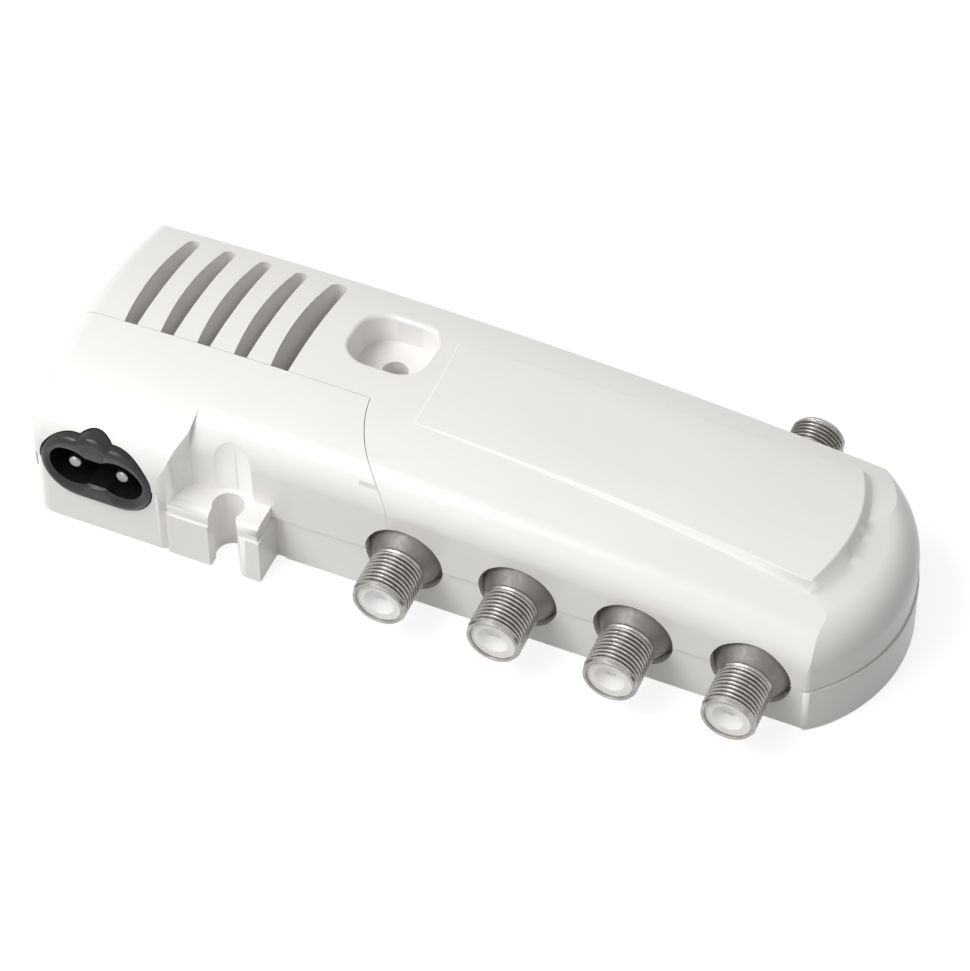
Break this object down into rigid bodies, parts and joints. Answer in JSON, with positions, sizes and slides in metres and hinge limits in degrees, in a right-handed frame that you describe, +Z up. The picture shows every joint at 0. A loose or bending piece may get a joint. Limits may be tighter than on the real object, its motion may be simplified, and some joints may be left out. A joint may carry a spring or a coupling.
{
  "type": "tv signal amplifier",
  "caption": "Mains-powered aerial signal amplifier: white moulded housing with vents, a two-pin mains inlet, threaded outputs in front and a threaded input behind.",
  "frame": {"origin": "in the plane that the housing stands on, under the middle of the object's box", "axes": "+X towards the rounded end, -Y the front with the output sockets, +Z up"},
  "size_m": [0.1424, 0.0614, 0.0285],
  "materials": {
    "white_plastic": "satin-gloss moulded",
    "black_plastic": "satin moulded",
    "nickel": "satin nickel plate",
    "insulator": "moulded",
    "contact": "tinned",
    "inlet_pin": "nickel plate",
    "tinplate": "tinned sheet",
    "board": "solder mask",
    "ferrite": "sintered",
    "tape": "wrapped tape",
    "black_parts": "moulded",
    "sleeve": "shrink sleeve",
    "glass_tube": "clear",
    "screw": "zinc plate"
  },
  "bodies": {
    "root": {"top_cover": "white_plastic", "power_cover": "white_plastic", "base_tray": "white_plastic", "case_screws": "screw", "mains_inlet": "black_plastic", "inlet_pins": "inlet_pin", "shield_frame": "tinplate", "shield_base": "tinplate", "shield_lid": "tinplate", "rf_board": "board", "rf_spacers": "black_parts", "splitter_cores": "ferrite", "amplifier_chip": "black_parts", "rf_capacitor": "sleeve", "power_board": "board", "transformer_bobbin": "black_parts", "transformer_core": "ferrite", "transformer_winding": "tape", "bulk_capacitor": "sleeve", "output_capacitor": "sleeve", "choke": "ferrite", "rectifier": "black_parts", "fuse": "glass_tube", "fuse_clips": "contact", "output_1_connector": "nickel", "output_1_insulator": "insulator", "output_1_contact": "contact", "output_2_connector": "nickel", "output_2_insulator": "insulator", "output_2_contact": "contact", "output_3_connector": "nickel", "output_3_insulator": "insulator", "output_3_contact": "contact", "output_4_connector": "nickel", "output_4_insulator": "insulator", "output_4_contact": "contact", "input_connector": "nickel", "input_insulator": "insulator", "input_contact": "contact"}
  },
  "joints": []
}
